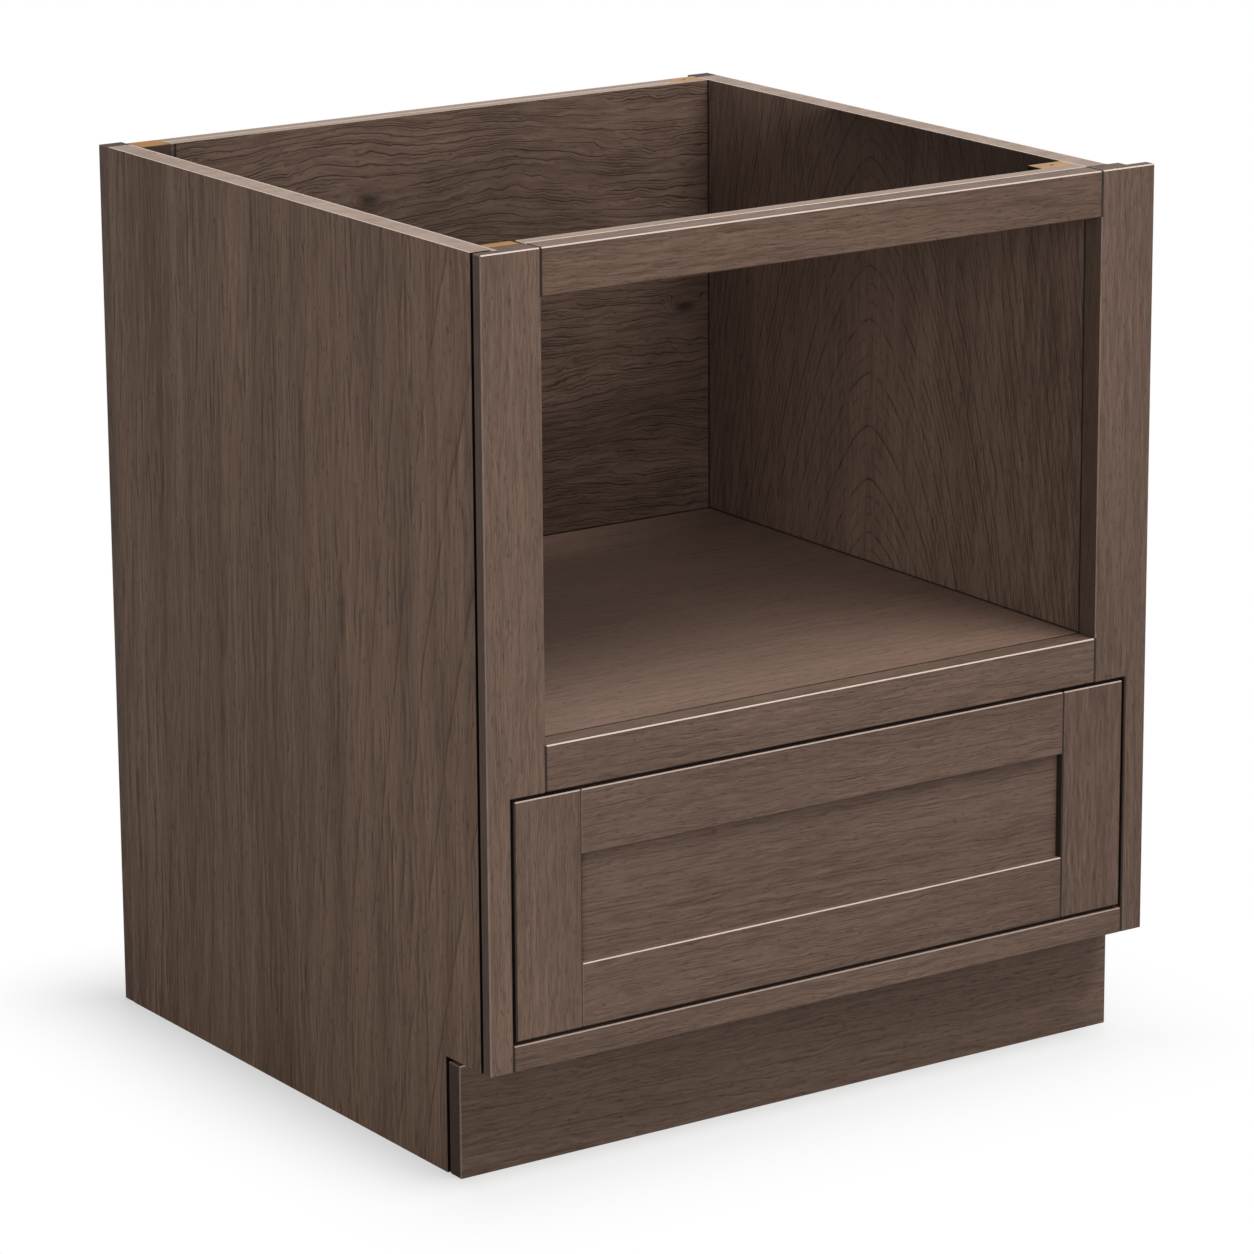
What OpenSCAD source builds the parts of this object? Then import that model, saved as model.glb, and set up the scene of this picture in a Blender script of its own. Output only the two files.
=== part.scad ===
// Face-frame base cabinet with an open microwave bay above one inset drawer.
// Millimetres. X runs across the front, Y from the front to the back, Z up from the floor.
// The origin is on the floor, in the middle of the cabinet's width and depth.

/* [Cabinet] */
// Overall width across the face frame
cabinet_w = 762; // [620:1:900]
// Overall depth from the frame's face to the back edge strips
cabinet_d = 685.8; // [650:1:760]
// Overall height from the floor to the open top
cabinet_h = 876.3; // [780:1:960]

/* [Carcass] */
// Thickness of each side panel
side_t = 25.4; // [24:0.1:28]
// Thickness, front to back, of the solid strip on each side panel's back edge
edge_strip_t = 19; // [12:0.5:25]
// Thickness of the back panel
back_t = 12.7; // [9:0.1:16]
// Thickness of the nailers behind the back panel
nailer_t = 15.9; // [12:0.1:19]
// Height of each nailer
nailer_h = 76.2; // [60:0.1:100]
// How far the nailers lie in front of the back edge strips
scribe_inset = 9.5; // [3:0.1:12]
// Thickness of the thin liner inside the left side panel
liner_t = 5; // [4:0.1:9]
// Thickness of the bay's wall panel inside the right side panel
wall_t = 25.4; // [20:0.1:26]
// How far the left liner and the right side panel end below the open top
hidden_drop = 20; // [10:0.5:30]
// Thickness of the shelf that carries the oven
shelf_t = 19; // [16:0.5:25]
// Thickness of the bottom panel
bottom_t = 19; // [12:0.5:22]
// Side of the square cleats under the shelf
cleat_s = 19; // [14:0.5:20]
// Thickness of the stretcher and the front corner posts behind the top rail
stretcher_t = 15.9; // [12:0.1:25]

/* [Toe space] */
// Height of the toe space under the face frame
toe_h = 114.3; // [90:0.1:125]
// Depth of the notch in the side panels
toe_d = 76.2; // [60:0.1:90]
// Thickness of the toe board
toe_board_t = 19; // [12:0.5:22]
// Gap between the toe board and the notch's upright edge
toe_gap = 4; // [1:0.5:8]
// Gap between the toe board and the underside of the cabinet
toe_top_gap = 4; // [1:0.5:8]
// Thickness of the rails of the base
base_rail_t = 19; // [14:0.5:25]

/* [Face frame] */
// Thickness of the stiles and rails
frame_t = 25.4; // [22:0.1:28]
// Width of each stile beside the microwave bay
stile_w = 63.5; // [56:0.1:76]
// Height of the top rail
top_rail_h = 44.5; // [36:0.1:60]
// Height of the rail between the bay and the drawer
mid_rail_h = 44.5; // [40:0.1:60]
// Height of the rail under the drawer
bottom_rail_h = 25.4; // [24:0.1:40]
// Height of the drawer's opening
drawer_opening_h = 235; // [222:1:260]
// Bevel on the edges of the frame's members
frame_ease = 1.1; // [0.5:0.1:2]
// Thickness of the stile's outer edge in front of the shadow groove
stile_edge = 12; // [10:0.1:14]
// Width of the shadow groove between stile and side panel
groove_w = 4.5; // [2:0.1:7]
// Depth of the shadow groove
groove_d = 20; // [12:0.1:21]
// Diameter of the dowels in the frame's joints
dowel_d = 6; // [4:0.1:7]
// Length of each dowel
dowel_l = 40; // [24:1:46]

/* [Drawer front] */
// Gap all round the drawer front
reveal = 3.2; // [2:0.1:5]
// Thickness of the drawer front
front_t = 19; // [17:0.1:22]
// Width of the drawer front's stiles
front_stile_w = 73; // [60:0.5:90]
// Height of the drawer front's rails
front_rail_h = 62; // [50:0.5:70]
// Thickness of the flat panel in the drawer front
front_panel_t = 6.4; // [4:0.1:8]
// How far the flat panel lies behind the front's face
front_recess = 7.5; // [5:0.1:9]
// Depth of the grooves that hold the flat panel
front_groove_d = 9.5; // [6:0.1:12]
// Bevel on the edges of the drawer front's members
front_ease = 1; // [0.5:0.1:1.8]

/* [Drawer box] */
// Height of the drawer box
box_h = 178; // [160:1:190]
// Thickness of the drawer box's sides, front and back
box_side_t = 15.9; // [13:0.1:18]
// Clear height between the bottom rail's top and the drawer box
box_lift = 12.7; // [8:0.1:20]
// Thickness of the drawer's bottom
box_bottom_t = 6.4; // [5:0.1:9]
// Height of the drawer's bottom above the box's lower edge
box_bottom_up = 12.7; // [8:0.1:20]
// Depth of the grooves that hold the drawer's bottom
box_groove_d = 7; // [4:0.1:9]
// Tails in each dovetailed corner
tail_count = 4; // [3:1:6]
// Slope of the tails in degrees
tail_slope = 9; // [5:1:14]

/* [Slides] */
// Clear depth between the drawer slides and the back panel
slide_back_gap = 61.9; // [20:0.1:120]
// Height of the slide's cabinet member
slide_h = 45; // [44:0.5:50]
// Thickness of the closed slide between the side panel and the drawer box
slide_t = 12.7; // [12.5:0.1:13.5]
// Thickness of the slide's sheet steel
slide_sheet = 1.2; // [1:0.1:1.3]
// How far the open drawer's slides stay short of their full length
slide_short = 8.8; // [0:0.1:80]
// Distance from the frame's back to the slide's front end
slide_setback = 1.6; // [1:0.1:6]
// Height of the slide's centre line above the drawer box's lower edge
slide_up = 64; // [40:1:100]
// Diameter of the balls between the cabinet member and the middle member
outer_ball_d = 3.1; // [2.8:0.1:3.3]
// Diameter of the balls between the middle member and the drawer member
inner_ball_d = 3.8; // [3.4:0.1:4]
// Balls in each run
ball_count = 10; // [6:1:14]

/* [Screws] */
// Diameter of a wood screw's shank
screw_d = 4; // [3:0.1:4.5]
// Diameter of a countersunk head
screw_head_d = 8; // [6:0.1:9]
// Screws in each nailer
nailer_screw_count = 5; // [3:1:8]
// Screws in each cleat
cleat_screw_count = 4; // [2:1:8]
// Screws behind the toe board
toe_screw_count = 4; // [2:1:8]
// Diameter of the low round heads on the slides
slide_screw_head_d = 7; // [6:0.1:8]
// Height of the low round heads
slide_head_h = 1.2; // [0.8:0.1:1.4]
// Length of the slide screws under the head
slide_screw_l = 12; // [8:0.5:14]

/* [Corner blocks] */
// Length of the blocks in the right-hand corners of the open top
block_l = 40; // [30:1:44]
// Thickness of the front block behind the stretcher
block_t = 22; // [16:0.5:30]
// Thickness of the back panel's skin left in front of the back block
block_skin = 3.2; // [2:0.1:6]
// Diameter of the worktop fixing holes in the blocks
block_hole_d = 4; // [3:0.1:6]
// Depth of the worktop fixing holes
block_hole_l = 35; // [20:1:38]

/* [Hidden] */
$fn = 48;

// Colours
stain = [0.40, 0.34, 0.30];
stain_side = [0.33, 0.28, 0.25];
raw_oak = [0.74, 0.65, 0.59];
raw_pine = [0.78, 0.60, 0.36];
birch = [0.85, 0.75, 0.58];
steel = [0.72, 0.73, 0.75];
screw_steel = [0.55, 0.55, 0.57];

// Small allowances
ease_carcass = 0.6;          // bevel on the carcass boards' edges
glue_fit = 0.05;             // radial play of dowels and screws in their bores
panel_fit = 0.1;             // play of a panel's faces in its groove
panel_float = 0.8;           // play of a panel's edges at the groove's bottom
ball_fit = 0.06;             // play of a ball in its cage
over = 1;                    // how far a cut runs past the surface it opens
pair_places = [0.25, 0.75];  // where a pair of fasteners sits along the joint, as shares of it

// Main planes
half_w = cabinet_w / 2;
front_y = -cabinet_d / 2;
back_y = cabinet_d / 2;
frame_back_y = front_y + frame_t;
side_in_x = half_w - side_t;
bay_x = half_w - stile_w;
liner_out_x = bay_x + liner_t;
wall_out_x = bay_x + wall_t;
hidden_top_z = cabinet_h - hidden_drop;
back_out_y = back_y - scribe_inset;
back_in_y = back_out_y - nailer_t - back_t;
top_rail_z = cabinet_h - top_rail_h;
drawer_z0 = toe_h + bottom_rail_h;
drawer_z1 = drawer_z0 + drawer_opening_h;
shelf_z = drawer_z1 + mid_rail_h;
shelf_under_z = shelf_z - shelf_t;

// Base
toe_board_back_y = front_y + toe_d - toe_gap;
base_rail_mid_y = (toe_board_back_y + back_in_y) / 2;

// Drawer front
front_x = side_in_x - reveal;
front_z0 = drawer_z0 + reveal;
front_z1 = drawer_z1 - reveal;
front_back_y = front_y + front_t;
front_stile_x = front_x - front_stile_w;
panel_y = front_y + front_recess;

// Drawer box
slide_y0 = frame_back_y + slide_setback;
slide_y1 = back_in_y - slide_back_gap;
slide_l = slide_y1 - slide_y0;
slide_travel = slide_l - slide_short;
box_x = side_in_x - slide_t;
box_y0 = front_back_y;
box_y1 = slide_y1;
box_z0 = drawer_z0 + box_lift;
box_z1 = box_z0 + box_h;
tail_pitch = box_h / tail_count;
tail_share = 0.62;                                         // share of the pitch that a tail takes
tail_end = tail_share * tail_pitch;                        // a tail's width at its end
tail_root = tail_end - 2 * box_side_t * tan(tail_slope);   // and where it leaves the side

// Slide section: x is measured from the side panel towards the drawer box, z from the centre line
slide_z = box_z0 + slide_up;
web_gap = 1.8;         // between the webs of the cabinet and middle members, clears the heads
nest_gap = 1.2;        // between the middle member's web and the drawer member's lips
cabinet_lip_gap = 3.7; // from the cabinet member's lips to the drawer box
middle_lip_gap = 2.5;  // from the middle member's lips to the drawer box
ball_play = 0.05;      // above and below each ball
outer_flange_in = slide_h / 2 - slide_sheet;
middle_flange_out = outer_flange_in - outer_ball_d - 2 * ball_play;
middle_flange_in = middle_flange_out - slide_sheet;
inner_flange_out = middle_flange_in - inner_ball_d - 2 * ball_play;
outer_x1 = slide_t - cabinet_lip_gap;
middle_x0 = slide_sheet + web_gap;
middle_x1 = slide_t - middle_lip_gap;
inner_x0 = middle_x0 + slide_sheet + nest_gap;
cage_t = 0.8;
cage_w = 4;
outer_ball_x = (middle_x0 + outer_x1) / 2;
inner_ball_x = (inner_x0 + middle_x1) / 2;
cage_margin = 20;      // from a cage's end to the members' ends when the drawer is open
cage_y0 = slide_y0 + slide_travel / 4 + cage_margin;
cage_l = slide_l - slide_travel / 2 - 2 * cage_margin;
ball_pitch = cage_l / ball_count;

// Fasteners
slide_screw_places = [0.08, 0.5, 0.9];  // shares of the slide's length
screw_tip_d = 1;
countersink_h = (screw_head_d - screw_d) / 2;
bite = 0.6;                             // share of the far board that a screw enters
nailer_screw_l = nailer_t + bite * back_t;
side_cleat_screw_l = cleat_s + bite * side_t;
back_cleat_screw_l = cleat_s + bite * back_t;
toe_screw_l = base_rail_t + bite * toe_board_t;
front_screw_l = box_side_t + bite * front_t;

// ---- Shapes that repeat ----

function chamfered(w, h, e) =
  [[e, 0], [w - e, 0], [w, e], [w, h - e], [w - e, h], [e, h], [0, h - e], [0, e]];

// Board between two corners
module board(lo, hi) {
  translate(lo) cube(hi - lo);
}

// Board between two corners with every edge bevelled by e
module eased_board(lo, hi, e) {
  s = hi - lo;
  translate(lo) intersection() {
    linear_extrude(s.z) polygon(chamfered(s.x, s.y, e));
    translate([0, s.y, 0]) rotate([90, 0, 0]) linear_extrude(s.y) polygon(chamfered(s.x, s.z, e));
    rotate([90, 0, 90]) linear_extrude(s.x) polygon(chamfered(s.y, s.z, e));
  }
}

// Countersunk wood screw: its head is flush with z = 0 and its shank runs up +Z
module countersunk_screw(len) {
  cylinder(d1 = screw_head_d, d2 = screw_d, h = countersink_h);
  translate([0, 0, countersink_h]) cylinder(d = screw_d, h = len - countersink_h - screw_d);
  translate([0, 0, len - screw_d]) cylinder(d1 = screw_d, d2 = screw_tip_d, h = screw_d);
}

// The bore that such a screw sits in
module countersunk_bore(len) {
  translate([0, 0, -over]) cylinder(d = screw_head_d + 2 * glue_fit, h = over);
  cylinder(d1 = screw_head_d + 2 * glue_fit, d2 = screw_d + 2 * glue_fit, h = countersink_h);
  cylinder(d = screw_d + 2 * glue_fit, h = len + over);
}

// Low-headed screw of the slides: the head lies below z = 0 and the shank runs up +Z
module slide_screw() {
  translate([0, 0, -slide_head_h]) cylinder(d = slide_screw_head_d, h = slide_head_h);
  cylinder(d = screw_d, h = slide_screw_l - screw_d);
  translate([0, 0, slide_screw_l - screw_d])
    cylinder(d1 = screw_d, d2 = screw_tip_d, h = screw_d);
}

module slide_screw_bore() {
  translate([0, 0, -over]) cylinder(d = screw_d + 2 * glue_fit, h = slide_screw_l + 2 * over);
}

// Places the children at the middles of count equal steps from a to b
module spread(a, b, count) {
  for (i = [0 : count - 1]) translate(a + (b - a) * (i + 0.5) / count) children();
}

// ---- Places of the fasteners ----

module at_nailer_screws(z_mid) {
  spread([-liner_out_x, back_out_y, z_mid], [liner_out_x, back_out_y, z_mid], nailer_screw_count)
    rotate([90, 0, 0]) children();
}

cleat_mid_z = shelf_under_z - cleat_s / 2;
module at_side_cleat_screws() {
  spread([side_in_x - cleat_s, frame_back_y, cleat_mid_z],
         [side_in_x - cleat_s, back_in_y, cleat_mid_z], cleat_screw_count)
    rotate([0, 90, 0]) children();
}

module at_back_cleat_screws() {
  spread([cleat_s - side_in_x, back_in_y - cleat_s, cleat_mid_z],
         [side_in_x - cleat_s, back_in_y - cleat_s, cleat_mid_z], cleat_screw_count)
    rotate([-90, 0, 0]) children();
}

toe_screw_z = (toe_h - toe_top_gap) / 2;
module at_toe_screws() {
  spread([-side_in_x, toe_board_back_y + base_rail_t, toe_screw_z],
         [side_in_x, toe_board_back_y + base_rail_t, toe_screw_z], toe_screw_count)
    rotate([90, 0, 0]) children();
}

front_screw_x = front_x - front_stile_w / 2;
module at_front_screws() {
  for (x = [-front_screw_x, front_screw_x], f = pair_places)
    translate([x, box_y0 + box_side_t, box_z0 + f * box_h]) rotate([90, 0, 0]) children();
}

module at_cabinet_slide_screws() {
  for (f = slide_screw_places)
    translate([side_in_x - slide_sheet, slide_y0 + f * slide_l, slide_z])
      rotate([0, 90, 0]) children();
}

module at_drawer_slide_screws() {
  for (f = slide_screw_places)
    translate([box_x + slide_sheet, slide_y0 + f * slide_l, slide_z])
      rotate([0, -90, 0]) children();
}

// Dowels of the right-hand joints: two in each tall rail, one in the bottom rail. Each place
// gives the joint's plane, the depth behind the frame's face and the height.
rail_joints = concat(
  [for (f = pair_places) [bay_x, frame_t / 2, top_rail_z + f * top_rail_h]],
  [for (f = pair_places) [bay_x, frame_t / 2, drawer_z1 + f * mid_rail_h]],
  [[side_in_x, stile_edge / 2, toe_h + bottom_rail_h / 2]]
);

module dowels(d, len) {
  for (p = rail_joints)
    translate([p.x - len / 2, front_y + p.y, p.z]) rotate([0, 90, 0]) cylinder(d = d, h = len);
}

module dowel_bores() {
  dowels(dowel_d + 2 * glue_fit, dowel_l + 2 * over);
}

// ---- Carcass, drawn for the right-hand side and mirrored ----

// The left side panel is the finished end and reaches the open top. On the right the bay's wall
// panel does, and the side panel outside it ends lower.
module side_panel(top_z) {
  color(stain_side) difference() {
    union() {
      board([side_in_x, front_y + stile_edge + groove_w, 0],
            [half_w, back_y - edge_strip_t, top_z]);
      board([side_in_x, front_y + stile_edge, toe_h],
            [half_w - groove_d, front_y + stile_edge + groove_w + over, top_z]);
    }
    board([side_in_x - over, front_y, -over], [half_w + over, front_y + toe_d, toe_h]);
    at_side_cleat_screws() countersunk_bore(side_cleat_screw_l);
    at_cabinet_slide_screws() slide_screw_bore();
  }
}
module side_panel_right() { side_panel(hidden_top_z); }
module side_panel_left() { mirror([1, 0, 0]) side_panel(cabinet_h); }

module edge_strip(top_z) {
  color(stain) eased_board([side_in_x, back_y - edge_strip_t, 0], [half_w, back_y, top_z],
                           ease_carcass);
}
module edge_strip_right() { edge_strip(hidden_top_z); }
module edge_strip_left() { mirror([1, 0, 0]) edge_strip(cabinet_h); }

// Posts between the liner, or the wall panel, and the side panel
module front_post(x, top_z) {
  color(raw_pine) eased_board([x, frame_back_y, shelf_z],
                              [side_in_x, frame_back_y + stretcher_t, top_z], ease_carcass);
}
module back_post(x, z0, top_z) {
  color(raw_pine) eased_board([x, back_in_y, z0], [side_in_x, back_out_y, top_z], ease_carcass);
}
module corner_post_front_right() { front_post(wall_out_x, hidden_top_z); }
module corner_post_front_left() { mirror([1, 0, 0]) front_post(liner_out_x, cabinet_h); }
module corner_post_back_right() {
  back_post(bay_x, 0, shelf_z);
  back_post(wall_out_x, 0, hidden_top_z);
}
module corner_post_back_left() { mirror([1, 0, 0]) back_post(liner_out_x, 0, cabinet_h); }

module bay_liner_left() {
  color(stain) mirror([1, 0, 0])
    board([bay_x, frame_back_y, shelf_z], [liner_out_x, back_in_y, hidden_top_z]);
}

module bay_wall_right() {
  color(stain) board([bay_x, frame_back_y, shelf_z],
                     [wall_out_x, back_y - edge_strip_t, cabinet_h]);
}
module bay_wall_strip_right() {
  color(stain) eased_board([bay_x, back_y - edge_strip_t, shelf_z],
                           [wall_out_x, back_y, cabinet_h], ease_carcass);
}

// Block between two corners, with a fixing hole down from its top
module corner_block(lo, hi) {
  color(raw_pine) difference() {
    board(lo, hi);
    translate([(lo.x + hi.x) / 2, (lo.y + hi.y) / 2, hi.z - block_hole_l])
      cylinder(d = block_hole_d, h = block_hole_l + over);
  }
}
module corner_block_front_right() {
  corner_block([bay_x - block_l, frame_back_y + stretcher_t, top_rail_z],
               [bay_x, frame_back_y + stretcher_t + block_t, cabinet_h]);
}
module corner_block_back_right() {
  corner_block([bay_x - block_l, back_in_y + block_skin, top_rail_z],
               [bay_x, back_out_y, cabinet_h]);
}

// The room for the back block in the back panel and the upper nailer
module back_block_notch() {
  board([bay_x - block_l, back_in_y + block_skin, top_rail_z],
        [bay_x + over, back_out_y + over, cabinet_h + over]);
}

module back_panel() {
  color(stain) difference() {
    board([-liner_out_x, back_in_y, toe_h], [bay_x, back_in_y + back_t, cabinet_h]);
    back_block_notch();
    at_nailer_screws(cabinet_h - nailer_h / 2) countersunk_bore(nailer_screw_l);
    at_nailer_screws(toe_h + nailer_h / 2) countersunk_bore(nailer_screw_l);
    at_back_cleat_screws() countersunk_bore(back_cleat_screw_l);
  }
}

module back_nailer(z0) {
  color(raw_oak) difference() {
    eased_board([-liner_out_x, back_in_y + back_t, z0], [bay_x, back_out_y, z0 + nailer_h],
                ease_carcass);
    back_block_notch();
    at_nailer_screws(z0 + nailer_h / 2) countersunk_bore(nailer_screw_l);
  }
}
module back_nailer_top() { back_nailer(cabinet_h - nailer_h); }
module back_nailer_bottom() { back_nailer(toe_h); }

module top_stretcher() {
  color(raw_oak) eased_board([-bay_x, frame_back_y, top_rail_z],
                             [bay_x, frame_back_y + stretcher_t, cabinet_h], ease_carcass);
}

module shelf() {
  color(stain) board([-side_in_x, frame_back_y, shelf_under_z], [side_in_x, back_in_y, shelf_z]);
}

module side_cleat() {
  color(raw_pine) difference() {
    eased_board([side_in_x - cleat_s, frame_back_y, shelf_under_z - cleat_s],
                [side_in_x, back_in_y, shelf_under_z], ease_carcass);
    at_side_cleat_screws() countersunk_bore(side_cleat_screw_l);
  }
}
module shelf_cleat_right() { side_cleat(); }
module shelf_cleat_left() { mirror([1, 0, 0]) side_cleat(); }

module shelf_cleat_back() {
  color(raw_pine) difference() {
    eased_board([cleat_s - side_in_x, back_in_y - cleat_s, shelf_under_z - cleat_s],
                [side_in_x - cleat_s, back_in_y, shelf_under_z], ease_carcass);
    at_back_cleat_screws() countersunk_bore(back_cleat_screw_l);
  }
}

module bottom_panel() {
  color(birch) board([-side_in_x, frame_back_y, toe_h], [side_in_x, back_in_y, toe_h + bottom_t]);
}

// ---- Base ----

module base_rail(y0) {
  board([-side_in_x, y0, 0], [side_in_x, y0 + base_rail_t, toe_h]);
}
module base_rail_front() {
  color(birch) difference() {
    base_rail(toe_board_back_y);
    at_toe_screws() countersunk_bore(toe_screw_l);
  }
}
module base_rail_middle() { color(birch) base_rail(base_rail_mid_y); }
module base_rail_back() { color(birch) base_rail(back_in_y - base_rail_t); }

module toe_board() {
  color(stain_side) difference() {
    eased_board([-half_w, toe_board_back_y - toe_board_t, 0],
                [half_w, toe_board_back_y, toe_h - toe_top_gap], frame_ease);
    at_toe_screws() countersunk_bore(toe_screw_l);
  }
}

// ---- Face frame ----

// The stile is wide beside the bay and cut back beside the drawer, flush with the side panel's
// inner face. A rabbet along its back takes the side panel's front edge.
module stile() {
  color(stain) difference() {
    union() {
      eased_board([bay_x, front_y, drawer_z1], [half_w, frame_back_y, cabinet_h], frame_ease);
      eased_board([side_in_x, front_y, toe_h], [half_w, frame_back_y, cabinet_h], frame_ease);
    }
    board([side_in_x, front_y + stile_edge, toe_h - over],
          [half_w + over, frame_back_y + over, cabinet_h + over]);
    dowel_bores();
  }
}
module stile_right() { stile(); }
module stile_left() { mirror([1, 0, 0]) stile(); }

module frame_rail(x, z0, z1) {
  color(stain) difference() {
    eased_board([-x, front_y, z0], [x, frame_back_y, z1], frame_ease);
    dowel_bores();
    mirror([1, 0, 0]) dowel_bores();
  }
}
module top_rail() { frame_rail(bay_x, top_rail_z, cabinet_h); }
module mid_rail() { frame_rail(bay_x, drawer_z1, shelf_z); }
module bottom_rail() { frame_rail(side_in_x, toe_h, drawer_z0); }

module frame_dowels() {
  color(birch) {
    dowels(dowel_d, dowel_l);
    mirror([1, 0, 0]) dowels(dowel_d, dowel_l);
  }
}

// ---- Screws of the carcass ----

module nailer_screws() {
  color(screw_steel) {
    at_nailer_screws(cabinet_h - nailer_h / 2) countersunk_screw(nailer_screw_l);
    at_nailer_screws(toe_h + nailer_h / 2) countersunk_screw(nailer_screw_l);
  }
}

module cleat_screws() {
  color(screw_steel) {
    at_side_cleat_screws() countersunk_screw(side_cleat_screw_l);
    mirror([1, 0, 0]) at_side_cleat_screws() countersunk_screw(side_cleat_screw_l);
    at_back_cleat_screws() countersunk_screw(back_cleat_screw_l);
  }
}

module toe_board_screws() {
  color(screw_steel) at_toe_screws() countersunk_screw(toe_screw_l);
}

// ---- Drawer front: two stiles, two rails and a flat panel in their grooves ----

// The room that the flat panel and the rails' tongues need in the grooves
module front_groove() {
  board([-(front_stile_x + front_groove_d), panel_y - panel_fit, front_z0 - over],
        [front_stile_x + front_groove_d, panel_y + front_panel_t + panel_fit, front_z1 + over]);
}

module drawer_front_stile() {
  color(stain) difference() {
    eased_board([front_stile_x, front_y, front_z0], [front_x, front_back_y, front_z1], front_ease);
    front_groove();
    at_front_screws() countersunk_bore(front_screw_l);
  }
}
module drawer_front_stile_right() { drawer_front_stile(); }
module drawer_front_stile_left() { mirror([1, 0, 0]) drawer_front_stile(); }

module drawer_front_rail(z0) {
  tongue_x = front_stile_x + front_groove_d - panel_float;
  color(stain) difference() {
    union() {
      eased_board([-front_stile_x, front_y, z0], [front_stile_x, front_back_y, z0 + front_rail_h],
                  front_ease);
      board([-tongue_x, panel_y, z0 + front_ease],
            [tongue_x, panel_y + front_panel_t, z0 + front_rail_h - front_ease]);
    }
    board([-half_w, panel_y - panel_fit, front_z0 + front_rail_h - front_groove_d],
          [half_w, panel_y + front_panel_t + panel_fit, front_z1 - front_rail_h + front_groove_d]);
  }
}
module drawer_front_rail_top() { drawer_front_rail(front_z1 - front_rail_h); }
module drawer_front_rail_bottom() { drawer_front_rail(front_z0); }

module drawer_front_panel() {
  edge = front_groove_d - panel_float;
  color(stain) board([-front_stile_x - edge, panel_y, front_z0 + front_rail_h - edge],
                     [front_stile_x + edge, panel_y + front_panel_t, front_z1 - front_rail_h + edge]);
}

// ---- Drawer box ----

// Outline of one end's tails in the plane of the side board, from the board's end inwards and
// a little into the board
module tails_2d() {
  for (i = [0 : tail_count - 1]) {
    mid = box_z0 + (i + 0.5) * tail_pitch;
    polygon([[0, mid - tail_end / 2], [box_side_t, mid - tail_root / 2],
             [box_side_t + over, mid - tail_root / 2], [box_side_t + over, mid + tail_root / 2],
             [box_side_t, mid + tail_root / 2], [0, mid + tail_end / 2]]);
  }
}

// Outline of the side board with its tails at both ends, y to the right and z up
module drawer_side_2d() {
  translate([box_y0 + box_side_t, box_z0]) square([box_y1 - box_y0 - 2 * box_side_t, box_h]);
  translate([box_y0, 0]) tails_2d();
  translate([box_y1, 0]) mirror([1, 0]) tails_2d();
}

// The sockets of all four corners, cut from the box's front and back
module tail_sockets(y, side) {
  for (x = [-box_x, box_x - box_side_t])
    translate([x, y, 0]) rotate([90, 0, 90]) linear_extrude(box_side_t)
      mirror([side, 0]) tails_2d();
}

bottom_edge = box_groove_d - panel_float;
bottom_x = box_x - box_side_t + bottom_edge;
bottom_y0 = box_y0 + box_side_t - bottom_edge;
bottom_y1 = box_y1 - box_side_t + bottom_edge;
bottom_z = box_z0 + box_bottom_up;

module bottom_groove() {
  board([-bottom_x - panel_float, bottom_y0 - panel_float, bottom_z],
        [bottom_x + panel_float, bottom_y1 + panel_float, bottom_z + box_bottom_t + 2 * panel_fit]);
}

module drawer_side() {
  color(birch) difference() {
    translate([box_x - box_side_t, 0, 0]) rotate([90, 0, 90]) linear_extrude(box_side_t)
      drawer_side_2d();
    bottom_groove();
    at_drawer_slide_screws() slide_screw_bore();
  }
}
module drawer_side_right() { drawer_side(); }
module drawer_side_left() { mirror([1, 0, 0]) drawer_side(); }

module drawer_box_front() {
  color(birch) difference() {
    board([-box_x, box_y0, box_z0], [box_x, box_y0 + box_side_t, box_z1]);
    tail_sockets(box_y0, 0);
    bottom_groove();
    at_front_screws() countersunk_bore(front_screw_l);
  }
}

module drawer_box_back() {
  color(birch) difference() {
    board([-box_x, box_y1 - box_side_t, box_z0], [box_x, box_y1, box_z1]);
    tail_sockets(box_y1, 1);
    bottom_groove();
  }
}

module drawer_bottom() {
  color(birch) board([-bottom_x, bottom_y0, bottom_z], [bottom_x, bottom_y1, bottom_z + box_bottom_t]);
}

module drawer_front_screws() {
  color(screw_steel) at_front_screws() countersunk_screw(front_screw_l);
}

// ---- Slides, drawn for the right-hand side and mirrored ----

// Channel between x0 and x1, half high above and below its centre; shift moves the hollow
// away from the web, which is at x0 with a shift to the right and at x1 with one to the left
module channel_2d(x0, x1, half, shift) {
  difference() {
    translate([x0, -half]) square([x1 - x0, 2 * half]);
    translate([x0 + shift, slide_sheet - half]) square([x1 - x0, 2 * (half - slide_sheet)]);
  }
}

// Sweeps a section along the slide; section x points from the side panel to the drawer box
module along_slide(y0, len) {
  translate([side_in_x, y0 + len, slide_z]) rotate([90, 0, 0]) linear_extrude(len)
    mirror([1, 0]) children();
}

module slide_cabinet_member() {
  color(steel) difference() {
    along_slide(slide_y0, slide_l) channel_2d(0, outer_x1, slide_h / 2, slide_sheet);
    at_cabinet_slide_screws() slide_screw_bore();
  }
}
module slide_cabinet_member_right() { slide_cabinet_member(); }
module slide_cabinet_member_left() { mirror([1, 0, 0]) slide_cabinet_member(); }

module slide_middle_member() {
  color(steel) along_slide(slide_y0, slide_l)
    channel_2d(middle_x0, middle_x1, middle_flange_out, slide_sheet);
}
module slide_middle_member_right() { slide_middle_member(); }
module slide_middle_member_left() { mirror([1, 0, 0]) slide_middle_member(); }

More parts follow.
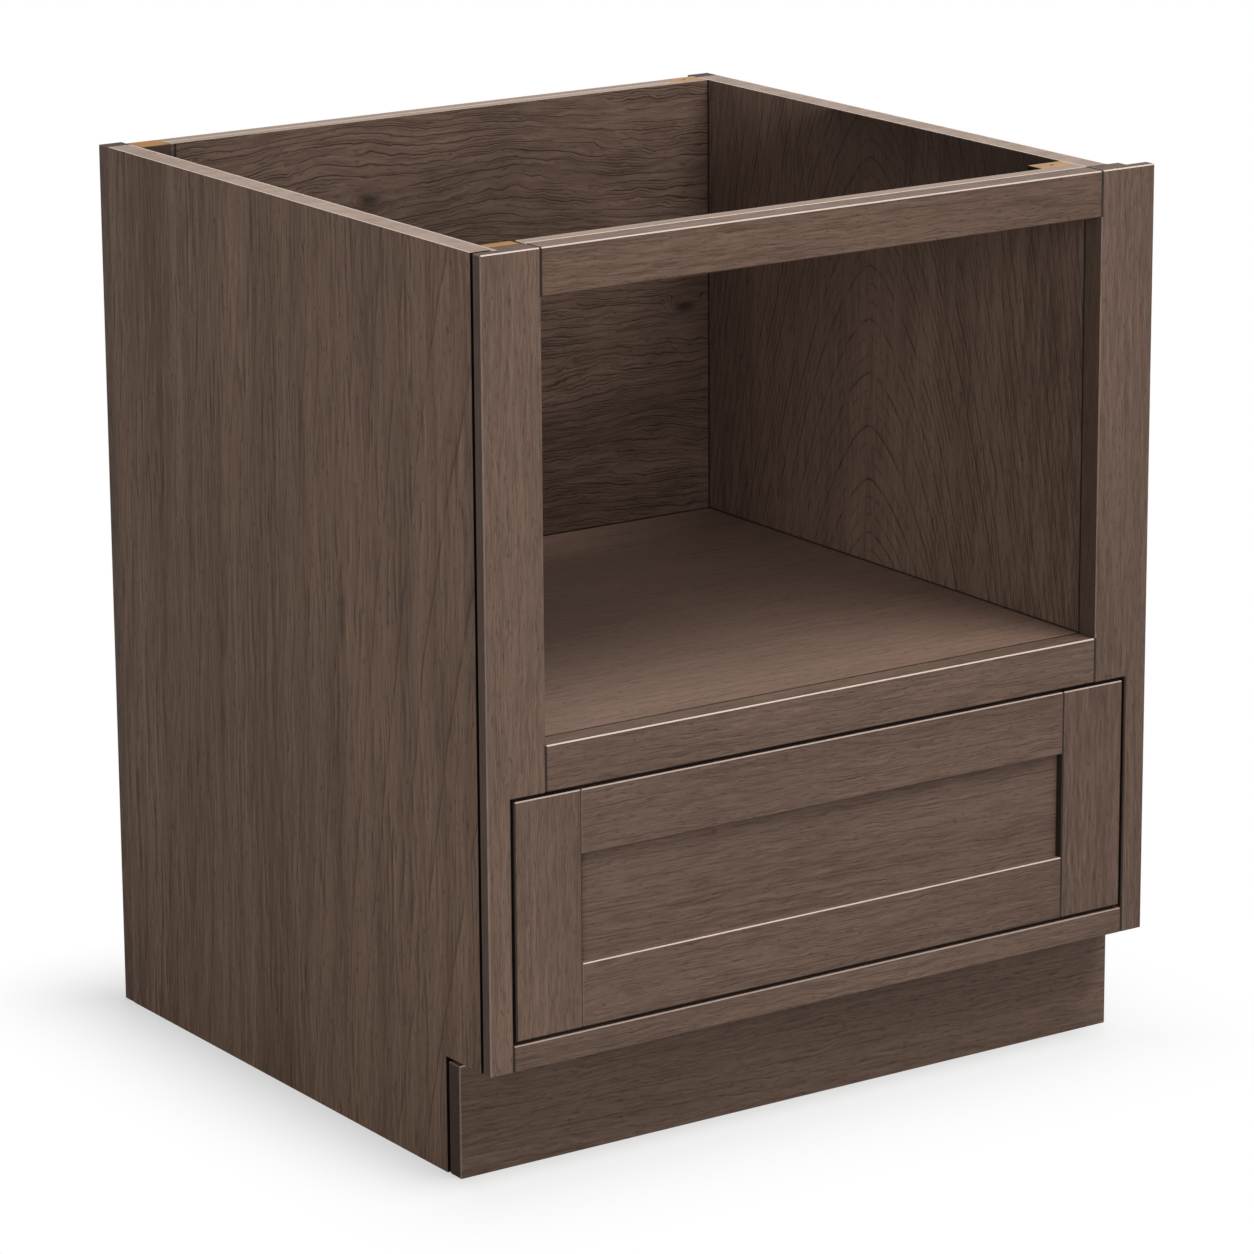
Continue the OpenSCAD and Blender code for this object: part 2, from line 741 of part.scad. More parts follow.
module slide_drawer_member() {
  color(steel) difference() {
    along_slide(slide_y0, slide_l) channel_2d(inner_x0, slide_t, inner_flange_out, -slide_sheet);
    at_drawer_slide_screws() slide_screw_bore();
  }
}
module slide_drawer_member_right() { slide_drawer_member(); }
module slide_drawer_member_left() { mirror([1, 0, 0]) slide_drawer_member(); }

// An upper and a lower run of balls, each in its flat cage
module ball_runs(ball_x, race_z, ball_d) {
  for (side = [-1, 1]) translate([side_in_x - ball_x, cage_y0, slide_z + side * race_z]) {
    color(screw_steel) difference() {
      translate([-cage_w / 2, 0, -cage_t / 2]) cube([cage_w, cage_l, cage_t]);
      for (i = [0 : ball_count - 1]) translate([0, (i + 0.5) * ball_pitch, -cage_t])
        cylinder(d = ball_d + 2 * ball_fit, h = 2 * cage_t);
    }
    color(steel) for (i = [0 : ball_count - 1]) translate([0, (i + 0.5) * ball_pitch, 0])
      sphere(d = ball_d);
  }
}

module slide_outer_balls() {
  ball_runs(outer_ball_x, outer_flange_in - ball_play - outer_ball_d / 2, outer_ball_d);
}
module slide_outer_balls_right() { slide_outer_balls(); }
module slide_outer_balls_left() { mirror([1, 0, 0]) slide_outer_balls(); }

module slide_inner_balls() {
  ball_runs(inner_ball_x, middle_flange_in - ball_play - inner_ball_d / 2, inner_ball_d);
}
module slide_inner_balls_right() { slide_inner_balls(); }
module slide_inner_balls_left() { mirror([1, 0, 0]) slide_inner_balls(); }

module slide_cabinet_screws() {
  color(screw_steel) {
    at_cabinet_slide_screws() slide_screw();
    mirror([1, 0, 0]) at_cabinet_slide_screws() slide_screw();
  }
}

module slide_drawer_screws() {
  color(screw_steel) {
    at_drawer_slide_screws() slide_screw();
    mirror([1, 0, 0]) at_drawer_slide_screws() slide_screw();
  }
}

side_panel_left();
side_panel_right();
edge_strip_left();
edge_strip_right();
corner_post_front_left();
corner_post_front_right();
corner_post_back_left();
corner_post_back_right();
bay_liner_left();
bay_wall_right();
bay_wall_strip_right();
corner_block_front_right();
corner_block_back_right();
back_panel();
back_nailer_top();
back_nailer_bottom();
top_stretcher();
shelf();
shelf_cleat_left();
shelf_cleat_right();
shelf_cleat_back();
bottom_panel();
base_rail_front();
base_rail_middle();
base_rail_back();
toe_board();
stile_left();
stile_right();
top_rail();
mid_rail();
bottom_rail();
frame_dowels();
nailer_screws();
cleat_screws();
toe_board_screws();
drawer_front_stile_left();
drawer_front_stile_right();
drawer_front_rail_top();
drawer_front_rail_bottom();
drawer_front_panel();
drawer_box_front();
drawer_box_back();
drawer_side_left();
drawer_side_right();
drawer_bottom();
drawer_front_screws();
slide_cabinet_member_left();
slide_cabinet_member_right();
slide_middle_member_left();
slide_middle_member_right();
slide_drawer_member_left();
slide_drawer_member_right();
slide_outer_balls_left();
slide_outer_balls_right();
slide_inner_balls_left();
slide_inner_balls_right();
slide_cabinet_screws();
slide_drawer_screws();
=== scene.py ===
import math

import bmesh
import bpy
import numpy as np
from mathutils import Matrix, Vector


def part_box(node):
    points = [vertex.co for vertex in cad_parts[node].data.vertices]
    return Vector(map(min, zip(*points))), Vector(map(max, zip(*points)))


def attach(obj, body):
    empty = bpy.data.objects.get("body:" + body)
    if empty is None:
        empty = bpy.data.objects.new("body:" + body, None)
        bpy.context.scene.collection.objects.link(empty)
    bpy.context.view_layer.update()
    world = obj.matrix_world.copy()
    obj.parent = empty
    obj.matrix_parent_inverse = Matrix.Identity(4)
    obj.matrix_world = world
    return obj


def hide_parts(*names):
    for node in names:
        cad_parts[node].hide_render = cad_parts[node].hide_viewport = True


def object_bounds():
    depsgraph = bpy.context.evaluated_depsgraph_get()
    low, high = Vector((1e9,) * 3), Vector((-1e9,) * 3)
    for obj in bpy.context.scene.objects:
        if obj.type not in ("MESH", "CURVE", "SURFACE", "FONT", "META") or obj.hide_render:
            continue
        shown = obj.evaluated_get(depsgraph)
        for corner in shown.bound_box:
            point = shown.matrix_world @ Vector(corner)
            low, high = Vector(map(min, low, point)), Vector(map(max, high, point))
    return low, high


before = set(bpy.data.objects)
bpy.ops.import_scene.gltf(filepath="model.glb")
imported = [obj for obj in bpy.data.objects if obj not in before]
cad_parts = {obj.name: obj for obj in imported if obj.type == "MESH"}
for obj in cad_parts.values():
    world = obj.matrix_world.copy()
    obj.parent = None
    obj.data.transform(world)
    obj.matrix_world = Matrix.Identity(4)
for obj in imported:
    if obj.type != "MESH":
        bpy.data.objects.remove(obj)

cad_box = [list(corner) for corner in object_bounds()]


# ------------------------------------------------------------------------------------------------
# The studio: a pale floor, a plain white surround and three broad soft lamps, the brightest above
# the cabinet's front right corner, seen through a long lens. None of it belongs to the cabinet.

class Number:
    """One socket of a node tree, with its arithmetic written as plain Python."""

    def __init__(self, recipe, socket):
        self.recipe, self.socket = recipe, socket

    def math(self, operation, *others):
        return self.recipe.add(
            "ShaderNodeMath", dict(enumerate((self, *others))), operation=operation)

    def __add__(self, other):
        return self.math("ADD", other)

    def __mul__(self, other):
        return self.math("MULTIPLY", other)

    def __sub__(self, other):
        return self.math("SUBTRACT", other)

    def __rsub__(self, other):
        return self * -1 + other

    def __truediv__(self, other):
        return self.math("DIVIDE", other)

    def __abs__(self):
        return self.math("ABSOLUTE")

    __radd__ = __add__
    __rmul__ = __mul__

    def least(self, other):
        return self.math("MINIMUM", other)

    def most(self, other):
        return self.math("MAXIMUM", other)

    def rise(self, low, high):
        """0 below low and 1 above high, with a soft step between them."""
        return self.recipe.add(
            "ShaderNodeMapRange", {"Value": self, "From Min": low, "From Max": high},
            interpolation_type="SMOOTHSTEP")

    def output(self, name):
        """Another output of the same node."""
        return Number(self.recipe, self.socket.node.outputs[name])


class Recipe:
    """A node tree being written, for a finish or for a shape."""

    def __init__(self, tree):
        self.tree = tree
        self.tree.nodes.clear()

    def add(self, kind, sockets=None, out=0, **settings):
        """A node of that type: its settings are set first, then its sockets get values or links."""
        node = self.tree.nodes.new(kind)
        for name, value in settings.items():
            setattr(node, name, value)
        for name, value in (sockets or {}).items():
            if isinstance(value, Number):
                self.tree.links.new(value.socket, node.inputs[name])
            else:
                node.inputs[name].default_value = value
        return Number(self, node.outputs[out]) if len(node.outputs) else node

    def mix(self, first, second, share):
        """The first colour turning into the second as share goes from 0 to 1."""
        return self.add("ShaderNodeMix", {0: share, 6: first, 7: second}, out=2, data_type="RGBA")


def srgb(red, green, blue):
    """A colour given as it looks on a screen, 0 to 255, in the linear values that sockets hold."""
    return (*[((c / 255 + 0.055) / 1.055) ** 2.4 for c in (red, green, blue)], 1.0)


surround_light = 0.27      # what the surround gives to matt surfaces, where 1 is white
world = bpy.data.worlds.new("white_surround")
world.use_nodes = True
bpy.context.scene.world = world
sky = Recipe(world.node_tree)
ray = sky.add("ShaderNodeLightPath", out="Is Camera Ray")
seen = ray.most(ray.output("Is Glossy Ray")).most(ray.output("Is Transmission Ray"))
surround = sky.add("ShaderNodeBackground", {
    "Color": (1, 1, 1, 1), "Strength": surround_light + (1 - surround_light) * seen})
sky.add("ShaderNodeOutputWorld", {"Surface": surround})

floor_half = 9.0
floor_glow = 0.52          # what the floor gives off by itself, so that the shadow stays pale
shadow_reach = 0.19        # at this distance from the cabinet its shadow has faded away
floor_mesh = bpy.data.meshes.new("floor")
floor_mesh.from_pydata(
    [(x * floor_half, y * floor_half, 0) for x, y in ((-1, -1), (1, -1), (1, 1), (-1, 1))],
    [], [(0, 1, 2, 3)])
floor = bpy.data.objects.new("floor", floor_mesh)
bpy.context.scene.collection.objects.link(floor)
floor_paint = bpy.data.materials.new("pale_floor")
floor_paint.use_nodes = True
pale = Recipe(floor_paint.node_tree)
pale_ray = pale.add("ShaderNodeLightPath", out="Is Camera Ray")
floor_spot = pale.add("ShaderNodeSeparateXYZ", {"Vector": pale.add("ShaderNodeNewGeometry")})
beside, before = ((abs(floor_spot.output(axis)) - half).most(0)
                  for axis, half in zip("XY", cad_box[1]))
near = (1 - (beside * beside + before * before).math("SQRT") / shadow_reach).most(0)
shown = pale.add("ShaderNodeBsdfPrincipled", {
    "Base Color": srgb(155, 155, 155), "Roughness": 1.0, "Specular IOR Level": 0.0,
    "Emission Color": (1, 1, 1, 1), "Emission Strength": floor_glow})
white = pale.add("ShaderNodeEmission", {"Color": (1, 1, 1, 1), "Strength": 1.0})
faded = pale.add("ShaderNodeMixShader", {0: 1 - near * near, 1: shown, 2: white})
matt = pale.add("ShaderNodeBsdfDiffuse", {"Color": srgb(150, 150, 150)})
floor_skin = pale.add("ShaderNodeMixShader", {0: pale_ray, 1: matt, 2: faded})
pale.add("ShaderNodeOutputMaterial", {"Surface": floor_skin})
floor_mesh.materials.append(floor_paint)

# A dark flag over the front half of the open top keeps the key lamp from shining down the bay.
# The camera and mirrored rays look through it.
bay_left, bay_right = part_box("bay_liner_left")[1].x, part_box("bay_wall_right")[0].x
flag_front, flag_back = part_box("top_stretcher")[1].y, 0.09
flag_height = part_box("top_stretcher")[1].z - 0.0008
flag_leak = 0.15           # the share of the light that passes it
flag_mesh = bpy.data.meshes.new("flag")
flag_mesh.from_pydata(
    [(x, y, flag_height) for x, y in ((bay_left, flag_front), (bay_right, flag_front),
                                      (bay_right, flag_back), (bay_left, flag_back))],
    [], [(0, 1, 2, 3)])
flag = bpy.data.objects.new("flag", flag_mesh)
bpy.context.scene.collection.objects.link(flag)
flag_cloth = bpy.data.materials.new("flag_cloth")
flag_cloth.use_nodes = True
cloth = Recipe(flag_cloth.node_tree)
cloth_ray = cloth.add("ShaderNodeLightPath", out="Is Camera Ray")
looked_through = cloth_ray.most(cloth_ray.output("Is Glossy Ray")).most(
    cloth_ray.output("Is Transmission Ray"))
cloth_skin = cloth.add("ShaderNodeMixShader", {
    0: looked_through.most(flag_leak),
    1: cloth.add("ShaderNodeBsdfDiffuse", {"Color": srgb(40, 32, 28)}),
    2: cloth.add("ShaderNodeBsdfTransparent")})
cloth.add("ShaderNodeOutputMaterial", {"Surface": cloth_skin})
flag_mesh.materials.append(flag_cloth)


def soft_lamp(name, place, aim, width, watts):
    """A square lamp with soft edges, turned towards the point that it aims at."""
    light = bpy.data.lights.new(name, "AREA")
    light.size, light.energy = width, watts
    lamp = bpy.data.objects.new(name, light)
    lamp.location = place
    lamp.rotation_euler = (Vector(aim) - Vector(place)).to_track_quat("-Z", "Y").to_euler()
    bpy.context.scene.collection.objects.link(lamp)


soft_lamp("key_lamp", (2.3, -3.8, 8.3), (0, 0, 0.5), 4.5, 830)
soft_lamp("fill_lamp", (-6.0, -5.8, 2.0), (0, 0, 0.4), 4.0, 375)
soft_lamp("back_lamp", (4.5, 6.0, 2.2), (0, 0, 0.4), 4.0, 210)

lens = bpy.data.cameras.new("long_lens")
lens.sensor_width = 36
lens.lens = 157.8
camera = bpy.data.objects.new("camera", lens)
camera_place = (-2.928, -4.323, 1.813)
camera_turn = math.radians(34.15)      # to the right of straight ahead
camera_dip = math.radians(15.09)       # below the horizon
camera_roll = math.radians(-0.37)
camera.matrix_world = (
    Matrix.Translation(camera_place) @ Matrix.Rotation(-camera_turn, 4, "Z")
    @ Matrix.Rotation(math.pi / 2 - camera_dip, 4, "X") @ Matrix.Rotation(camera_roll, 4, "Z"))
bpy.context.scene.collection.objects.link(camera)
bpy.context.scene.camera = camera
bpy.context.scene.view_settings.view_transform = "Standard"


# ------------------------------------------------------------------------------------------------
# The side panels: plywood faced with oak veneer, stained a warm grey brown and sprayed with a
# satin lacquer. Their top edges are left bare, so the pale core shows between its two skins.

oak_stain = dict(
    dark=srgb(66, 51, 42), light=srgb(122, 99, 86), line=srgb(46, 35, 28),
    pore=srgb(48, 37, 30), end=srgb(42, 32, 27), rub_and_highlight=srgb(190, 173, 162), roughness=0.5)
whole = (-1, 1)            # all of an axis, past both ends of the cabinet


def board_finish(node, along, across, seed, wood=oak_stain, lighter=0.0, heart=0.0, apex=0.5,
                 peak=0.0, sag=0.1, step=0.008, sway=0.02, ripple=0.004, knots=(), lines=0.5,
                 between=0.5, line_width=0.0012, tail=3, streaks=0.25, fibres=0.6, strokes=0.28,
                 grain_scale=(28, 260), gloss=0.22, matt_top=0.0, rubbed_and_highlit=1.0, end_shade=0.8,
                 painted_side_shade=0.0, joints=(), end_joints=False, painted_shade_gap_face=0, bare_top=None,
                 stained_sides=None):
    """The finish of one board. Its rings are cut along the board's length, so that lines run with
    the grain on the faces and edges and curve over the ends. Sizes are in metres.

    How it was sawn: heart is how far the log's middle lies off the board's, step the rings'
    distance across the board, apex their distance along it, sag and peak how round and how
    pointed their flames are, sway and ripple how far they wander, knots where branches grew.
    Its grain: the strength of the growth lines, the share of finer lines between them, their width
    and tail, the strength of streaks, fibres and pore strokes, and the fibres to the metre along
    and across. lighter lifts the whole board.
    Its surface: gloss, and matt_top where a top is rougher; rubbed is how much lighter the eased
    corners are, with the stain worn thin on them and a painted highlight on those that face up
    and forward. end_shade is how dark the stain is on ends, and painted_side_shade how far painted
    shade darkens the faces that look left or right. joints are dark lines where boards meet and
    lines of painted shade along open gaps, as axis, place, other axis, start and stop, and
    end_joints draws them at both ends. painted_shade_gap_face is 1 or -1 where the face towards or
    away from the back lies inside a groove, and paints that face near black: painted shade.
    bare_top is the colour of an unstained top's core, skin and edge."""
    low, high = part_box(node)
    material = bpy.data.materials.new("finish_" + node)
    material.use_nodes = True
    recipe = Recipe(material.node_tree)
    place = recipe.add("ShaderNodeTexCoord", out="Object")
    spot = recipe.add("ShaderNodeSeparateXYZ", {"Vector": place})
    depth = ({"X", "Y", "Z"} - {along, across}).pop()
    middle = dict(zip("XYZ", (low + high) / 2))
    run, width, depth_in = (spot.output(axis) - middle[axis] for axis in (along, across, depth))

    def noise(vector, scale, detail=2.0, roughness=0.5):
        """Soft blotches, as many to the metre along, across and through the board as scale."""
        spread = recipe.add("ShaderNodeMapping", {
            "Vector": vector, "Location": (seed * 3.7, seed * 5.3, seed * 1.9), "Scale": scale})
        return recipe.add("ShaderNodeTexNoise", {
            "Vector": spread, "Scale": 1.0, "Detail": detail, "Roughness": roughness})

    board = recipe.add("ShaderNodeCombineXYZ", {"X": run, "Y": width, "Z": depth_in})
    bend = (noise(board, (2.2, 7, 7)) - 0.5) * sway + (noise(board, (32, 50, 50)) - 0.5) * ripple
    bent = width + bend
    grain = recipe.add("ShaderNodeCombineXYZ", {"X": run, "Y": bent, "Z": depth_in})

    # The rings are counted from the heart, and crowd says how many there are to the metre.
    round_heart, depth_step = 0.008, 0.005
    off_heart = bent - heart
    spread_out = (off_heart * off_heart + round_heart ** 2).math("SQRT")
    rings = (run + spread_out * peak + off_heart * off_heart / sag) / apex \
        + bent / step + depth_in / depth_step
    crowd_across = (abs(off_heart) * (2 / sag) + peak) / apex + 1 / step
    crowd = (crowd_across * crowd_across + 1 / apex ** 2).math("SQRT")
    swirl = 0.0
    knot_push, knot_stretch = 4, 2
    for at_run, at_width, size in knots:
        away = (run - at_run) * (run - at_run) * (1 / knot_stretch ** 2) \
            + (width - at_width) * (width - at_width)
        near = (away / -(size * size)).math("EXPONENT")
        rings = rings + near * knot_push
        swirl = near * near * near + swirl

    def ring_lines(count, thick, fade):
        """Thin lines, count to each ring: sharp on one side, fading out on the other."""
        past = (rings * count).math("FRACT") / (crowd * count)
        return (1 - past.rise(0, thick)) * 0.7 + (1 - past.rise(0, fade)) * 0.3

    broken = noise(grain, (9, 70, 70), 3.0).rise(0.34, 0.6)
    faint = noise(grain, (14, 110, 110), 1.0).rise(0.42, 0.62)
    growth = ring_lines(1, line_width, tail * line_width) * broken \
        + ring_lines(3, 0.7 * line_width, 2 * line_width) * faint * between + swirl
    growth = growth.least(1)

    along_grain, across_grain = grain_scale
    fibre = noise(grain, (along_grain, across_grain, across_grain), 3.0, 0.65)
    streak = noise(grain, (1.6, 42, 42), 2.0)
    patch = noise(board, (2.5, 6, 6), 2.0)
    open_grain = noise(board, (9, 24, 24), 1.0).rise(0.3, 0.7)
    stroke = noise(board, (along_grain, across_grain, across_grain), 1.0).rise(0.56, 0.68)
    pore = noise(grain, (110, 520, 520), 0.0).rise(0.66, 0.76)
    pits = stroke * (open_grain * 0.7 + 0.3) * strokes + pore * 0.35

    patches = 0.2
    tone = (fibre - 0.5) * (fibres * 2) + (streak - 0.5) * (streaks * 2) \
        + (patch - 0.5) * (patches * 2) + (0.5 + lighter)
    colour = recipe.mix(wood["dark"], wood["light"], tone)
    colour = recipe.mix(colour, wood["line"], growth * lines)
    colour = recipe.mix(colour, wood["pore"], pits)

    normal = recipe.add("ShaderNodeSeparateXYZ", {
        "Vector": recipe.add("ShaderNodeNewGeometry", out="True Normal")})
    toward = {axis: normal.output(axis) for axis in "XYZ"}

    def facing(way):
        """1 on the faces that look that way, and 0 on bevels and on the other faces."""
        return way.rise(0.8, 0.95)

    end = facing(abs(toward[along]))
    colour = recipe.mix(colour, wood["end"], end * end_shade)
    # Painted shade: the faces that look left or right are darkened, as if shaded.
    if painted_side_shade:
        colour = recipe.mix(colour, wood["line"], facing(abs(toward["X"])) * painted_side_shade)
    # The eased corners are written lighter: the stain is worn thin on them, and a painted highlight
    # is added. It is strong on the corners that face up and forward and faint on the upright ones.
    top_bevel_wear_and_highlight = (toward["Y"] * toward["Z"] * -2).rise(0.6, 0.9)
    side_bevel_wear_and_highlight = abs(toward["X"] * toward["Y"] * 2).rise(0.6, 0.9)
    colour = recipe.mix(colour, wood["rub_and_highlight"], (top_bevel_wear_and_highlight + side_bevel_wear_and_highlight * 0.12) * rubbed_and_highlit)

    if end_joints:
        joints = joints + tuple(
            (along, corner["XYZ".index(along)], "Y", *whole) for corner in (low, high))
    # Dark lines where boards meet. The same lines along open gaps are painted shade.
    joint_core, joint_edge, joint_end, joint_and_gap_dark = 0.0010, 0.0018, 0.0003, srgb(24, 17, 13)
    not_behind = 1 - toward["Y"].rise(0.5, 0.9)
    for axis, at, other, start, stop in joints:
        close = 1 - abs(spot.output(axis) - at).rise(joint_core, joint_edge)
        within = (spot.output(other) - start).rise(-joint_end, joint_end) \
            * (stop - spot.output(other)).rise(-joint_end, joint_end)
        colour = recipe.mix(colour, joint_and_gap_dark, close * within * not_behind * 0.85)

    height = (fibre - 0.5) * 0.8 - growth * lines - pits
    rough = wood["roughness"] + (fibre - 0.5) * 0.2 + pits * 0.15 + end * 0.4
    if matt_top:
        rough = rough + facing(toward["Z"]) * matt_top
    # Painted shade: the faces inside the groove are painted near black.
    if painted_shade_gap_face:
        colour = recipe.mix(colour, srgb(9, 7, 6), facing(toward["Y"] * painted_shade_gap_face))
    if stained_sides:
        colour = recipe.mix(stained_sides, colour, facing(toward["Z"]) * 0.94 + 0.06)
    if bare_top:
        core, skin, edge = bare_top
        highest = (spot.output("Z") - (high.z - 0.001)).rise(0, 0.0005)
        on_top = facing(toward["Z"]) * highest
        out_from_middle = abs(depth_in) / ((high - low)["XYZ".index(depth)] / 2)
        bare = recipe.mix(core, skin, (streak - 0.3) * 1.2 + (fibre - 0.5) * 0.6)
        bare = recipe.mix(bare, edge, out_from_middle.rise(0.82, 0.9))
        colour = recipe.mix(colour, bare, on_top)
        rough = rough + on_top * 0.4
    relief = recipe.add("ShaderNodeBump", {"Height": height, "Strength": 0.6, "Distance": 0.0005})
    surface = recipe.add("ShaderNodeBsdfPrincipled", {
        "Base Color": colour, "Roughness": rough, "Normal": relief, "Specular IOR Level": gloss})
    recipe.add("ShaderNodeOutputMaterial", {"Surface": surface})
    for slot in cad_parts[node].material_slots:
        slot.material = material


bare_ply = (srgb(138, 120, 108), srgb(172, 154, 142), srgb(188, 174, 164))
panel_stain = dict(oak_stain, dark=srgb(70, 54, 44), light=srgb(127, 103, 88))
for seed, side in enumerate(("left", "right")):
    board_finish("side_panel_" + side, "Z", "Y", 11 + seed, wood=panel_stain, heart=-0.10,
                 apex=0.22, peak=0.8, sag=0.12, step=0.03, sway=0.04, ripple=0.005, lines=0.5,
                 line_width=0.0016, tail=5, streaks=0.45, fibres=0.65, strokes=0.5,
                 grain_scale=(15, 210), gloss=0.12, painted_shade_gap_face=-1, bare_top=bare_ply)


# ------------------------------------------------------------------------------------------------
# The edge strips: solid oak, stained as the panels are, glued along the back edge of each side
# panel. A fitter planes them down to follow an uneven wall.

for seed, side in enumerate(("left", "right")):
    board_finish("edge_strip_" + side, "Z", "X", 21 + seed, lighter=-0.2, step=0.006, lines=0.4)


# ------------------------------------------------------------------------------------------------
# The corner posts and blocks: bare pine, glued and stapled into the corners. The worktop's screws
# go into the holes of the two blocks on the right. The posts' sides took some of the stain.

pine = dict(
    dark=srgb(132, 94, 54), light=srgb(166, 126, 80), line=srgb(112, 74, 38),
    pore=srgb(104, 70, 38), end=srgb(150, 110, 66), rub_and_highlight=srgb(180, 142, 96), roughness=0.7)
for seed, post in enumerate(("front_left", "front_right", "back_left", "back_right")):
    board_finish("corner_post_" + post, "Z", "X", 31 + seed, wood=pine, apex=0.3, sag=0.03,
                 step=0.007, strokes=0.2, stained_sides=srgb(53, 40, 33))
for seed, place in enumerate(("front", "back")):
    board_finish("corner_block_" + place + "_right", "X", "Y", 36 + seed, wood=pine, apex=0.3,
                 sag=0.03, step=0.005, lines=0.6, strokes=0.2, stained_sides=srgb(53, 40, 33))


# ------------------------------------------------------------------------------------------------
# The bay's two sides, with upright grain cut through the heart of the log, so that its rings stand
# up in tall flames: a thin liner on the left, a thick wall panel on the right whose top is bare.

frame_back, back_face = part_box("mid_rail")[1].y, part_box("back_panel")[0].y
shelf_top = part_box("shelf")[1].z
above = 1.0                # any height over the cabinet
for seed, wall in enumerate(("bay_liner_left", "bay_wall_right")):
    board_finish(wall, "Z", "Y", 41 + seed, heart=0.02, apex=0.055, peak=0.6, sag=0.117, step=0.4,
                 sway=0.02, ripple=0.005, lines=0.85, line_width=0.0018, between=0.9,
                 bare_top=bare_ply if "right" in wall else None,
                 joints=(("Y", frame_back, "Z", shelf_top, above), ("Y", back_face, "Z", *whole),
                         ("Z", shelf_top, "Y", frame_back, back_face)))
board_finish("bay_wall_strip_right", "Z", "X", 43, lighter=-0.2, step=0.006, lines=0.4)


# ------------------------------------------------------------------------------------------------
# The back: one oak-faced panel with level, restless grain, and two nailers behind it that take
# the screws into the wall. Only the panel's face is stained, its top edge and the nailers' aren't.

board_finish("back_panel", "X", "Z", 51, heart=0.1, apex=0.3, sag=0.2, step=0.009, sway=0.09,
             ripple=0.010, knots=((-0.095, 0.30, 0.012), (0.288, 0.145, 0.010)), lines=0.9,
             line_width=0.0012, tail=2, between=0.9, strokes=0.12, bare_top=bare_ply,
             joints=(("X", bay_right, "Z", shelf_top, above),
                     ("X", bay_left, "Z", shelf_top, above),
                     ("Z", shelf_top, "X", bay_left, bay_right)))
raw_oak = dict(
    dark=srgb(168, 142, 118), light=srgb(206, 182, 156), line=srgb(146, 118, 92),
    pore=srgb(140, 112, 88), end=srgb(150, 122, 96), rub_and_highlight=srgb(214, 192, 168), roughness=0.7)
for seed, place in enumerate(("top", "bottom")):
    board_finish("back_nailer_" + place, "X", "Z", 53 + seed, wood=raw_oak, step=0.012, lines=0.4,
                 bare_top=bare_ply)


# ------------------------------------------------------------------------------------------------
# The stretcher and the shelf: the stretcher ties the posts together behind the top rail and isn't
# stained. The shelf that carries the oven is oak-faced, and rests on three cleats.

board_finish("top_stretcher", "X", "Z", 61, wood=raw_oak, step=0.012, lines=0.4, bare_top=bare_ply)
# The shelf is written lighter than the other oak: painted light, as on a top lit from above.
board_finish("shelf", "X", "Y", 62, lighter=0.38, heart=-0.05, apex=0.35, sag=0.15, step=0.014,
             sway=0.06, ripple=0.006, lines=0.5, between=0.8,
             joints=(("Y", frame_back, "Z", *whole), ("Y", back_face, "Z", *whole),
                     ("X", bay_left, "Z", *whole), ("X", bay_right, "Z", *whole)))
for seed, (place, along, across) in enumerate((
        ("left", "Y", "Z"), ("right", "Y", "Z"), ("back", "X", "Z"))):
    board_finish("shelf_cleat_" + place, along, across, 63 + seed, wood=pine)


# ------------------------------------------------------------------------------------------------
# The base: a bottom panel under the drawer, three birch rails that stand on the floor between the
# side panels, and an oak toe board screwed to the front rail from behind.

birch = dict(
    dark=srgb(196, 164, 120), light=srgb(226, 200, 160), line=srgb(176, 138, 92),
    pore=srgb(170, 134, 92), end=srgb(186, 150, 106), rub_and_highlight=srgb(232, 210, 176), roughness=0.4)
board_finish("bottom_panel", "X", "Y", 71, wood=birch, step=0.012)
for seed, place in enumerate(("front", "middle", "back")):
    board_finish("base_rail_" + place, "X", "Z", 72 + seed, wood=birch, lines=0.3)
board_finish("toe_board", "X", "Z", 75, lighter=-0.05, apex=0.5, sag=0.1, step=0.012, sway=0.03,
             ripple=0.006, lines=0.5, between=0.8)


# ------------------------------------------------------------------------------------------------
# The face frame: solid oak stiles and rails, dowelled and glued, with their edges eased. It is
# stained on the front and all edges. Along the eased corners the stain is worn thin and a painted
# highlight is added. Painted shade darkens the stiles' faces that look left or right, and the edges
# along the drawer's gap.

top_low, drawer_low, drawer_high = (
    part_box("top_rail")[0].z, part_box("bottom_rail")[1].z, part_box("mid_rail")[0].z)
# The left stile is written lighter than the right: partly the boards' own tone, partly painted
# light falling off towards the right.
for seed, (side, lighter, end, bay_edge) in enumerate((
        ("left", 0.11, 0, bay_left), ("right", 0.02, 1, bay_right))):
    drawer_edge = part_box("bottom_rail")[end].x
    board_finish("stile_" + side, "Z", "X", 81 + seed, lighter=lighter, step=0.009, ripple=0.006,
                 lines=0.35, between=0.9, painted_side_shade=0.6, end_shade=0.3, painted_shade_gap_face=1,
                 # the line at the drawer's edge runs on up beside its gap, and there it is painted
                 # shade
                 joints=(("X", drawer_edge, "Z", 0, drawer_high),
                         ("X", bay_edge, "Z", top_low, above),
                         ("X", bay_edge, "Z", drawer_high, shelf_top)))
for seed, (rail, its_own) in enumerate((
        ("top_rail", dict(gloss=0.1, matt_top=0.2,
                          joints=(("Y", frame_back, "Z", shelf_top, above),))),
        ("mid_rail", dict(joints=(("Y", frame_back, "Z", shelf_top - 0.001, above),
                                  # the line along the mid rail's lower edge is painted shade over
                                  # the drawer's gap
                                  ("Z", drawer_high, "X", *whole)))),
        ("bottom_rail", dict(rubbed_and_highlit=0.35)))):
    board_finish(rail, "X", "Z", 83 + seed, step=0.009, ripple=0.007, lines=0.4, between=0.9,
                 end_joints=True, **its_own)
board_finish("frame_dowels", "X", "Z", 86, wood=birch)
